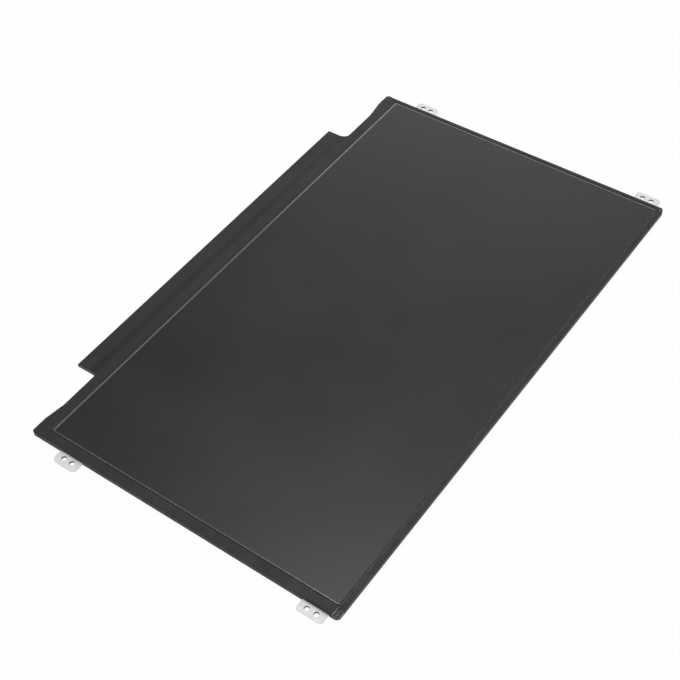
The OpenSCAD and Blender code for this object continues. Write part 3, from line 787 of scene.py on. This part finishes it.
@dataclass
class Bezel(Part):
    """The tapes round the screen, with the pleats where they turn the corners."""

    lip: float = 0.18 * MM
    skin: float = 0.02 * MM
    skirt: float = 1.9 * MM
    margin: float = 0.35 * MM
    spread: float = math.radians(76)
    farthest: float = 20 * MM
    halvings: int = 30
    columns: int = 97
    flat_rows: int = 25
    bend_rows: int = 6
    skirt_rows: int = 8
    flat_share: float = 0.75
    bow: float = 0.15
    ridge_power: float = 1.3
    fade_power: float = 0.6
    pleats: tuple[Pleats, ...] = (
        Pleats("top_right", 1, 1, 2 * MM, 2, 0.13 * MM, TIGHT_TAPE, 3, False),
        Pleats("top_left", -1, 1, 2 * MM, 4, 0.12 * MM, TIGHT_TAPE, 8),
        Pleats("board_right", 1, -1, 1 * MM, 4, 0.12 * MM, TAPE, 5),
        Pleats("board_left", -1, -1, 1 * MM, 4, 0.18 * MM, TIGHT_TAPE, 12),
    )
    bead_wave: float = 0.12 * MM
    bead_waves: tuple[Pair, ...] = ((0.5, 3.1), (0.3, 1.3), (0.35, 7.7))
    bead_points: int = 500
    bead_gap: float = 0.45 * MM
    bead_rows: tuple[BeadRow, ...] = (
        BeadRow(0.01, 0.02, 0.0),
        BeadRow(0.0, 0.05, 1.0),
        BeadRow(0.2, 0.03, 1.0, 0.1),
        BeadRow(0.45, 0.005, 1.0),
    )

    def __post_init__(self) -> None:
        """Lists the finishes of the tapes."""
        self.dressed = {node: TAPE for node in frame["nodes"] if node.startswith("bezel_tape")}

    def outline_reach(self, inner: np.ndarray, way: np.ndarray, corner: np.ndarray,
                      radius: float) -> np.ndarray:
        """Distance from an inner point to the body's rounded corner along each direction.

        Args:
            inner: The inner point, with both coordinates made positive.
            way: Rows of unit directions.
            corner: The outline's sharp corner, both coordinates positive.
            radius: The corner's rounding.

        Returns:
            One distance for each direction, found by halving.
        """
        low, high = np.zeros(len(way)), np.full(len(way), self.farthest)
        for _ in range(self.halvings):
            middle = (low + high) / 2
            inside = corner - radius - (inner + middle[:, None] * way)
            over = np.linalg.norm(np.minimum(inside, 0.0), axis=1) > radius
            low, high = np.where(over, low, middle), np.where(over, middle, high)
        return low

    def patch(self, inner: np.ndarray, corner: np.ndarray, radius: float) -> Patch:
        """Lays the smooth patch that the pleats are raised from.

        Straight lines fan out from the inner point over the flat. At the outline each turns down
        through a quarter circle, out by lip sin b and down by lip (1 - cos b), and then runs straight
        down the skirt.

        Args:
            inner: The fan's point, with both coordinates made positive.
            corner: The outline's sharp corner, both coordinates positive.
            radius: The corner's rounding.

        Returns:
            The patch.
        """
        turn = np.linspace(-1.0, 1.0, self.columns)
        angle = math.atan2(corner[1] - inner[1], corner[0] - inner[0]) + turn * self.spread / 2
        way = np.column_stack([np.cos(angle), np.sin(angle)])
        reach = self.outline_reach(inner, way, corner, radius) - self.lip
        flat = np.linspace(0.0, 1.0, self.flat_rows)
        bend = np.linspace(0.0, np.pi / 2, self.bend_rows + 1)[1:]
        skirt = np.linspace(0.0, 1.0, self.skirt_rows + 1)[1:]
        rest = np.linspace(self.flat_share, 1.0, len(bend) + len(skirt) + 1)[1:]
        spot = inner + way[None] * (flat[:, None] * reach[None])[..., None]
        outward = np.maximum(spot[-1] - (corner - radius), 0.0)
        outward /= np.linalg.norm(outward, axis=1)[:, None]
        over = spot[-1][None] + outward[None] * (self.lip * np.sin(bend))[:, None, None]
        down = np.repeat(over[-1:], len(skirt), axis=0)
        return Patch(
            base=np.concatenate([spot, over, down]),
            turn=turn,
            outward=outward,
            along=np.concatenate([flat * self.flat_share, rest]),
            drop=np.concatenate([0 * flat, self.lip * (1 - np.cos(bend)), self.lip + self.skirt * skirt]),
            lean=np.concatenate([0 * flat, np.sin(bend), 1 + 0 * skirt]),
        )

    def raised(self, at: Pleats, patch: Patch, share: np.ndarray) -> np.ndarray:
        """How far the tape stands off a patch.

        A ridge is (1 + cos(2 pi n a + p)) / 2, where n is the number of pleats, a the way across them and
        p a phase that sways from row to row. For a fan, a is half the turn. Else it is the share of the
        way to the long side, bowed by the square of the other share. The fade is a sine along the rows
        times a cosine round the corner. The tape's skin follows the fade, and the ridge's power times the
        height and the fade comes on top.

        Args:
            at: The corner's pleats.
            patch: The corner's patch.
            share: Each point's share of the way from the fan's point to the corner in X and Y.

        Returns:
            One height in metres for each point.
        """
        random = np.random.default_rng(at.seed)
        phase = 2 * random.uniform(0, np.pi) + np.sin(3 * patch.along + random.uniform(0, 6))
        across = patch.turn[None] / 2 if at.fanned else share[..., 1] + self.bow * share[..., 0] ** 2
        ridge = 0.5 + 0.5 * np.cos(2 * np.pi * at.count * across + phase[:, None])
        ends = np.sin(np.pi * patch.along)[:, None] ** self.fade_power
        fade = ends * np.cos(np.pi / 2 * patch.turn)[None]
        return self.skin * (1.5 * fade - 0.5) + at.height * ridge ** self.ridge_power * fade

    def pleat(self, at: Pleats) -> None:
        """Adds the creased patch of tape over one corner, from the glass's corner down to the skirt.

        Each point moves off the patch by the raised height: upward where the tape lies flat, outward
        where it hangs, and by the cosine and sine of the bend between.

        Args:
            at: The corner's pleats.
        """
        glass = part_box("colour_filter_glass")
        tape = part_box("bezel_tape_top")
        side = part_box("bezel_tape_right" if at.side_x > 0 else "bezel_tape_left")
        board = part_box("bezel_tape_board_right")
        corner = np.array([max(abs(side[0].x), abs(side[1].x)),
                           tape[1].y if at.side_y > 0 else -board[0].y])
        inner = np.array([glass[1].x if at.side_x > 0 else -glass[0].x,
                          glass[1].y if at.side_y > 0 else -glass[0].y]) + self.margin
        patch = self.patch(inner, corner, at.radius)
        lift = self.raised(at, patch, (patch.base - inner) / (corner - inner))
        place = patch.base + patch.outward[None] * (lift * patch.lean[:, None])[..., None]
        upward = np.sqrt(1 - np.minimum(patch.lean, 1.0) ** 2)[:, None]
        z = tape[1].z - patch.drop[:, None] + lift * upward
        signs = np.array([at.side_x, at.side_y])
        points = np.concatenate([place * signs, z[..., None]], axis=-1).reshape(-1, 3)
        faces = grid_faces(len(patch.along), len(patch.turn))
        self.add(mesh_piece(f"tape_pleats_{at.corner}", points, faces), at.finish, "tape_black")

    def bead(self) -> None:
        """Adds an uneven, thin raised bead between the glass and the top tape, black as painted shade of
        the groove there.

        Its lines run along X, from the front film's edge over the glass's edge and the gap onto the tape.
        Each is moved by its shares of the wave, which is the bead's width times 1 plus a sum of terms
        a sin(x / l + l), with l in millimetres.
        """
        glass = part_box("colour_filter_glass")
        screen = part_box("front_polarizer")
        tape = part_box("bezel_tape_top")[1]
        along = np.linspace(glass[0].x, glass[1].x, self.bead_points)
        edge = self.bead_wave * (1.0 + sum(a * np.sin(along / (l * MM) + l) for a, l in self.bead_waves))
        beyond = glass[1].y + self.bead_gap
        starts = ((screen[1].y, glass[1].z), (glass[1].y, glass[1].z), (beyond, tape.z), (beyond, tape.z))
        lines = [np.column_stack([along, y + row.out * MM + row.sway * edge,
                                  z + row.up * MM + row.rise * edge])
                 for (y, z), row in zip(starts, self.bead_rows)]
        faces = grid_faces(len(lines), len(along))
        # The bead is a thin raised form; its black is painted shade of the groove.
        self.add(mesh_piece("edge_bead_painted_shade", np.concatenate(lines), faces), GROOVE_SHADE_BEAD, "tape_black")

    def build(self) -> None:
        """Adds the pleats of all corners and the dark bead of painted groove shade."""
        for at in self.pleats:
            self.pleat(at)
        self.bead()


@dataclass
class Flange(Part):
    """The control board in its folded film."""

    def __post_init__(self) -> None:
        """Lists the finishes of the board, its film and its parts."""
        self.dressed = {
            "board_film": BOARD_FILM,
            "control_board": BoardMask("solder_mask", (0.02, 0.1, 0.055), 0.35),
            "board_adhesive": TAPE,
            "source_flexes": AMBER_FOIL,
            "touch_flex": AMBER_FOIL,
            "timing_controller": CHIP_RESIN,
            "touch_controller": CHIP_RESIN,
            "power_chips": CHIP_RESIN,
            "inductors": FERRITE,
            "capacitors": CERAMIC,
            "resistors": CHIP_RESIN,
            "connector_housing": IVORY,
            "connector_contacts": GOLD,
            "connector_cover": TIN,
            "light_bar_socket": IVORY,
        }


@dataclass
class Carrier(Part):
    """What carries the cell: frame, rear cover, brackets and the backlight's sheets."""

    ear_sheet: float = 0.4 * MM
    burr_foot: float = 0.06 * MM
    burr_top_steps: tuple[Pair, ...] = ((0.0, -0.02), (-0.06, -0.06), (-0.1, -0.2))
    burr_foot_steps: tuple[Pair, ...] = ((-0.16, 0.0), (-0.06, -0.03), (0.08, 0.05))
    burr_points: int = 40

    def __post_init__(self) -> None:
        """Lists the finishes of the frame, cover, brackets and sheets."""
        self.dressed = {
            "rear_cover": COVER_SHEET,
            "mould_frame": FRAME_RESIN,
            "bracket_left": ZINC,
            "bracket_right": ZINC,
            "reflector_sheet": WHITE_FILM,
            "light_guide": ACRYLIC,
            "diffuser_sheet": WHITE_FILM,
            "top_diffuser_sheet": WHITE_FILM,
            "lower_prism_sheet": Ribbed("prism_film_x", (0.8, 0.82, 0.84), 0.2),
            "upper_prism_sheet": Ribbed("prism_film_y", (0.8, 0.82, 0.84), 0.2, across=Axis.Y),
            "light_bar_flex": AMBER_FOIL,
            "light_packages": PHOSPHOR,
        }

    def hole_centres(self) -> list[tuple[float, float]]:
        """Finds the middles of the ears' eight holes from the row's two hole patterns.

        Returns:
            Pairs of X and Y in metres.
        """
        centres = []
        for name in ("ear_holes_outer", "ear_holes_inner"):
            pattern = mount(name)
            x, y, _ = pattern["pos_m"]
            half_x = pattern["dims"]["spacing_x_mm"] / 2 * MM
            half_y = pattern["dims"]["spacing_y_mm"] / 2 * MM
            centres += [(x + sx * half_x, y + sy * half_y) for sx in (-1, 1) for sy in (-1, 1)]
        return centres

    def burrs(self) -> None:
        """Adds the turned-down burr that the punch left round each hole of the ears, dark as painted
        shadow.

        Each is turned about the hole's axis. Its profile runs from just under the ear's top down the
        hole's wall, narrows to the burr's foot and comes back up outside the wall to the ear's
        underside. The steps are millimetres out from the wall and up from the ear's top or the foot.
        """
        wall = mount("ear_holes_outer")["dims"]["hole_r_mm"] * MM
        top = mount("ear_holes_outer")["pos_m"][2] + self.ear_sheet / 2
        profile = [(wall + out * MM, top + up * MM) for out, up in self.burr_top_steps]
        profile += [(wall + out * MM, self.burr_foot + up * MM) for out, up in self.burr_foot_steps]
        profile.append((profile[-1][0], top - self.ear_sheet))
        points, faces = turned(np.array(profile), self.burr_points)
        centres = self.hole_centres()
        spots = np.concatenate([points + (x, y, 0.0) for x, y in centres])
        quads = np.concatenate([faces + i * len(points) for i in range(len(centres))])
        # The burr's form is the punch's; its dark colour is painted shadow of the floor under the ear.
        self.add(mesh_piece("ear_hole_burrs_painted_shadow", spots, quads), STEEL_PAINTED_SHADOW, "bracket_steel")

    def build(self) -> None:
        """Adds the burrs of the ears' holes, whose dark steel is painted shadow."""
        self.burrs()


@dataclass(frozen=True)
class Lamp:
    """A square soft lamp that looks at the module's middle."""

    name: str
    place: Colour
    side: float
    power: float

    def build(self) -> None:
        """Makes the lamp."""
        light = bpy.data.lights.new(self.name, "AREA")
        light.shape = "SQUARE"
        light.size = self.side
        light.energy = self.power
        lamp = bpy.data.objects.new(self.name, light)
        lamp.location = self.place
        lamp.rotation_euler = (-Vector(self.place)).to_track_quat("-Z", "Y").to_euler()
        bpy.context.scene.collection.objects.link(lamp)


@dataclass(frozen=True)
class Glow:
    """A soft lamp hung where the camera sees its mirror image over one spot of the screen's plane.

    The spot is in millimetres. It may lie beside the module, so that only the image's soft edge falls on
    the screen.
    """

    name: str
    spot: tuple[float, float]
    distance: float
    side: float
    power: float

    def lamp(self, eye: Vector) -> Lamp:
        """The lamp for one camera place.

        Args:
            eye: The camera's place in metres.

        Returns:
            The lamp at the mirrored direction and the given distance.
        """
        spot = Vector((self.spot[0] * MM, self.spot[1] * MM, 0.0))
        away = (spot - eye).normalized()
        away.z = -away.z
        return Lamp(self.name, tuple(spot + away * self.distance), self.side, self.power)


def mixed(tree: bpy.types.NodeTree, share: bpy.types.NodeSocket, first: bpy.types.NodeSocket,
          second: bpy.types.NodeSocket) -> bpy.types.NodeSocket:
    """Mixes two shaders.

    Args:
        tree: The node tree.
        share: The second shader's share from 0 to 1.
        first: A shader's socket.
        second: A shader's socket.

    Returns:
        The mixed shader's socket.
    """
    mix = tree.nodes.new("ShaderNodeMixShader")
    for socket, value in zip(mix.inputs, (share, first, second)):
        tree.links.new(value, socket)
    return mix.outputs[0]


@dataclass
class Studio:
    """Floor, lamps, world and the photograph's view of the module."""

    eye: Colour = (0.3402, 0.241575, 0.4526)
    right: Colour = (-0.5888, 0.8070, -0.0448)
    ahead: Colour = (-0.5184, -0.4196, -0.7451)
    focal_px: float = 1366.6
    centre_px: tuple[float, float] = (310.0, 340.0)
    picture_px: float = 680.0
    sensor_mm: float = 36.0
    floor_side: float = 6.0
    floor_drop: float = 0.01 * MM
    floor_white: float = 0.92
    floor_roughness: float = 0.9
    shadow_share: float = 0.1
    sky: float = 0.28
    sky_tint: Colour = (0.975, 0.98, 1.04)
    key: Lamp = Lamp("key_lamp", (0.5, 0.9, 1.5), 0.9, 16.0)
    corner_glow: Glow = Glow("corner_glow", (180.0, 125.0), 1.4, 0.35, 5.7)
    far_glow: Glow = Glow("far_glow", (-330.0, -85.0), 1.8, 1.15, 7.2)
    slope_fill: Lamp = Lamp("slope_fill", (-1.15, -1.55, 0.85), 1.0, 1.6)

    def camera(self) -> None:
        """Sets the camera from its solved place, axes, focal length and picture centre."""
        data = bpy.data.cameras.new("photo_camera")
        data.sensor_width = self.sensor_mm
        data.lens = self.focal_px / self.picture_px * self.sensor_mm
        data.shift_x = (self.picture_px / 2 - self.centre_px[0]) / self.picture_px
        data.shift_y = (self.centre_px[1] - self.picture_px / 2) / self.picture_px
        camera = bpy.data.objects.new("photo_camera", data)
        ahead = Vector(self.ahead).normalized()
        right = Vector(self.right)
        right = (right - ahead * right.dot(ahead)).normalized()
        up = right.cross(ahead)
        axes = Matrix((right, up, -ahead)).transposed().to_4x4()
        camera.matrix_world = Matrix.Translation(Vector(self.eye)) @ axes
        bpy.context.scene.collection.objects.link(camera)
        bpy.context.scene.camera = camera

    def seen_white(self, tree: bpy.types.NodeTree, plain: bpy.types.NodeSocket,
                   most: float) -> bpy.types.NodeSocket:
        """Mixes a shader with plain white for what the camera, gloss and glass see.

        Args:
            tree: The node tree.
            plain: The shader that lights the object.
            most: The share of white for those rays.

        Returns:
            The mixed shader's socket.
        """
        path = tree.nodes.new("ShaderNodeLightPath")
        rays = path.outputs["Is Camera Ray"]
        for name in ("Is Glossy Ray", "Is Transmission Ray"):
            either = tree.nodes.new("ShaderNodeMath")
            either.operation = "MAXIMUM"
            tree.links.new(rays, either.inputs[0])
            tree.links.new(path.outputs[name], either.inputs[1])
            rays = either.outputs[0]
        share = tree.nodes.new("ShaderNodeMath")
        share.operation = "MULTIPLY"
        share.inputs[1].default_value = most
        tree.links.new(rays, share.inputs[0])
        white = tree.nodes.new("ShaderNodeEmission")
        return mixed(tree, share.outputs[0], plain, white.outputs[0])

    def floor(self) -> None:
        """Makes a pale floor that takes the module's shadow and is clear from below."""
        half = self.floor_side / 2
        square = np.array([(-half, -half), (half, -half), (half, half), (-half, half)])
        points = np.column_stack([square, np.full(4, -self.floor_drop)])
        floor = mesh_piece("floor", points, np.array([[0, 1, 2, 3]]), False)
        material = bpy.data.materials.new("floor_paper")
        material.use_nodes = True
        tree = material.node_tree
        surface = tree.nodes["Principled BSDF"]
        surface.inputs["Base Color"].default_value = (*(self.floor_white,) * 3, 1.0)
        surface.inputs["Roughness"].default_value = self.floor_roughness
        over = self.seen_white(tree, surface.outputs[0], 1.0 - self.shadow_share)
        below = tree.nodes.new("ShaderNodeNewGeometry").outputs["Backfacing"]
        clear = tree.nodes.new("ShaderNodeBsdfTransparent").outputs[0]
        tree.links.new(mixed(tree, below, over, clear), tree.nodes["Material Output"].inputs[0])
        floor.data.materials.append(material)

    def world(self) -> None:
        """Makes a plain grey sky for light and gloss, white where the camera looks past the floor."""
        world = bpy.data.worlds.new("studio_sky")
        bpy.context.scene.world = world
        world.use_nodes = True
        tree = world.node_tree
        sky = tree.nodes["Background"]
        sky.inputs[0].default_value = (*self.sky_tint, 1.0)
        sky.inputs[1].default_value = self.sky
        white = tree.nodes.new("ShaderNodeBackground")
        white.inputs[0].default_value = (1.0, 1.0, 1.0, 1.0)
        seen = tree.nodes.new("ShaderNodeLightPath").outputs["Is Camera Ray"]
        both = mixed(tree, seen, sky.outputs[0], white.outputs[0])
        tree.links.new(both, tree.nodes["World Output"].inputs[0])

    def build(self) -> None:
        """Sets up the whole studio."""
        self.camera()
        self.floor()
        self.world()
        eye = Vector(self.eye)
        for lamp in (self.key, self.slope_fill, self.corner_glow.lamp(eye), self.far_glow.lamp(eye)):
            lamp.build()
        bpy.context.scene.view_settings.view_transform = "Standard"


def main() -> None:
    """Builds and dresses the module in order."""
    logging.basicConfig(level=logging.INFO, format="%(name)s: %(message)s")
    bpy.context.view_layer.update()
    Studio().build()
    for part in (Carrier(), Cell(), Bezel(), Flange()):
        part.dress()
        part.build()


if __name__ == "__main__":
    main()
